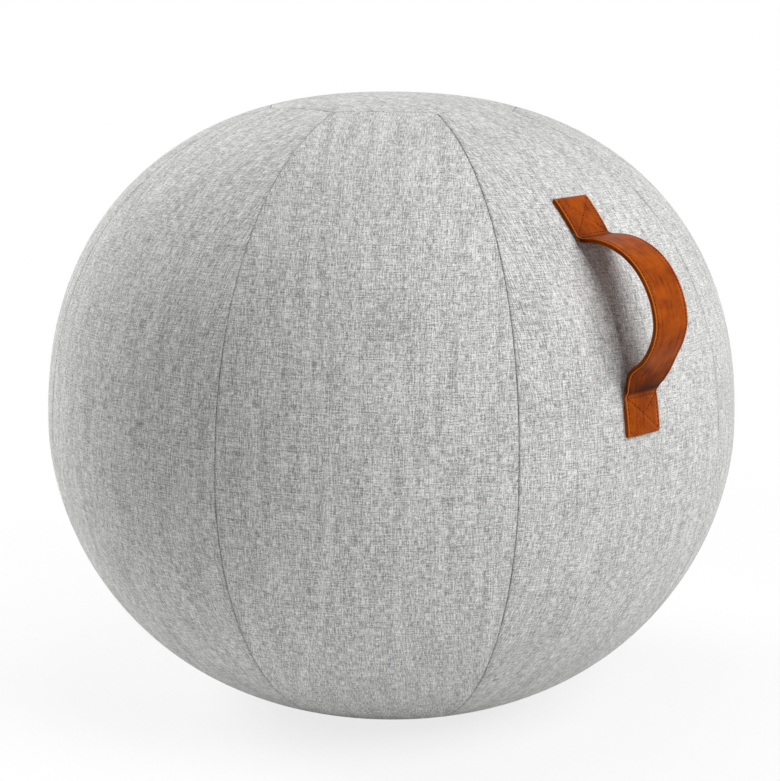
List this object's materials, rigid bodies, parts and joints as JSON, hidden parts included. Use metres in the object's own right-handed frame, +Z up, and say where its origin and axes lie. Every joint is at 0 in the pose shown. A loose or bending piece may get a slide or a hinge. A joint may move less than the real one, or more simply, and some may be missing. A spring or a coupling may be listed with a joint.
{
  "type": "sitting ball",
  "caption": "Air-filled sitting ball in a sewn grey melange fabric cover with a leather carry handle, a flat steadied base and a zip round the back of the base.",
  "frame": {"origin": "centre of the flat base, on the surface the ball stands on", "axes": "+Z up through the crown, -Y towards the handle"},
  "size_m": [0.6484, 0.682, 0.5759],
  "materials": {
    "cover_cloth": "light grey melange weave",
    "base_cloth": "coated non-slip weave",
    "handle_leather": "semi-gloss cognac",
    "webbing": "woven webbing",
    "vinyl": "smooth moulded vinyl",
    "foam": "dense closed-cell foam",
    "nylon": "satin nylon",
    "zip_metal": "tumbled metal"
  },
  "bodies": {
    "ball": {"side_panel_1": "cover_cloth", "side_panel_2": "cover_cloth", "side_panel_3": "cover_cloth", "side_panel_4": "cover_cloth", "side_panel_5": "cover_cloth", "side_panel_6": "cover_cloth", "side_panel_7": "cover_cloth", "side_panel_8": "cover_cloth", "top_panel": "cover_cloth", "base_seam_strip": "cover_cloth", "base_panel": "base_cloth", "ring_pocket": "base_cloth", "base_ring": "foam", "bladder": "vinyl", "valve_seat": "vinyl", "valve_plug": "nylon", "handle_strap": "handle_leather", "handle_lining": "handle_leather", "upper_backing_patch": "webbing", "lower_backing_patch": "webbing", "zip_tape_outer": "nylon", "zip_tape_inner": "nylon", "zip_teeth_outer": "nylon", "zip_teeth_inner": "nylon", "zip_top_stop_outer": "zip_metal", "zip_top_stop_inner": "zip_metal", "zip_bottom_stop": "zip_metal"},
    "zip_slider": {"zip_slider": "zip_metal"},
    "zip_pull": {"zip_pull": "zip_metal"}
  },
  "joints": [
    {"name": "zip_slider_travel", "type": "hinge", "parent": "ball", "child": "zip_slider", "pos_m": [0, 0, 0], "axis": [0, 0, 1], "range_deg": [-150, 0], "deforming": ["zip_teeth_outer", "zip_teeth_inner"]},
    {"name": "zip_pull_swing", "type": "hinge", "parent": "zip_slider", "child": "zip_pull", "pos_m": [-0.13176, 0.03303, 0.0082], "axis": [0.9177, -0.2301, -0.324], "range_deg": [0, 165]}
  ]
}
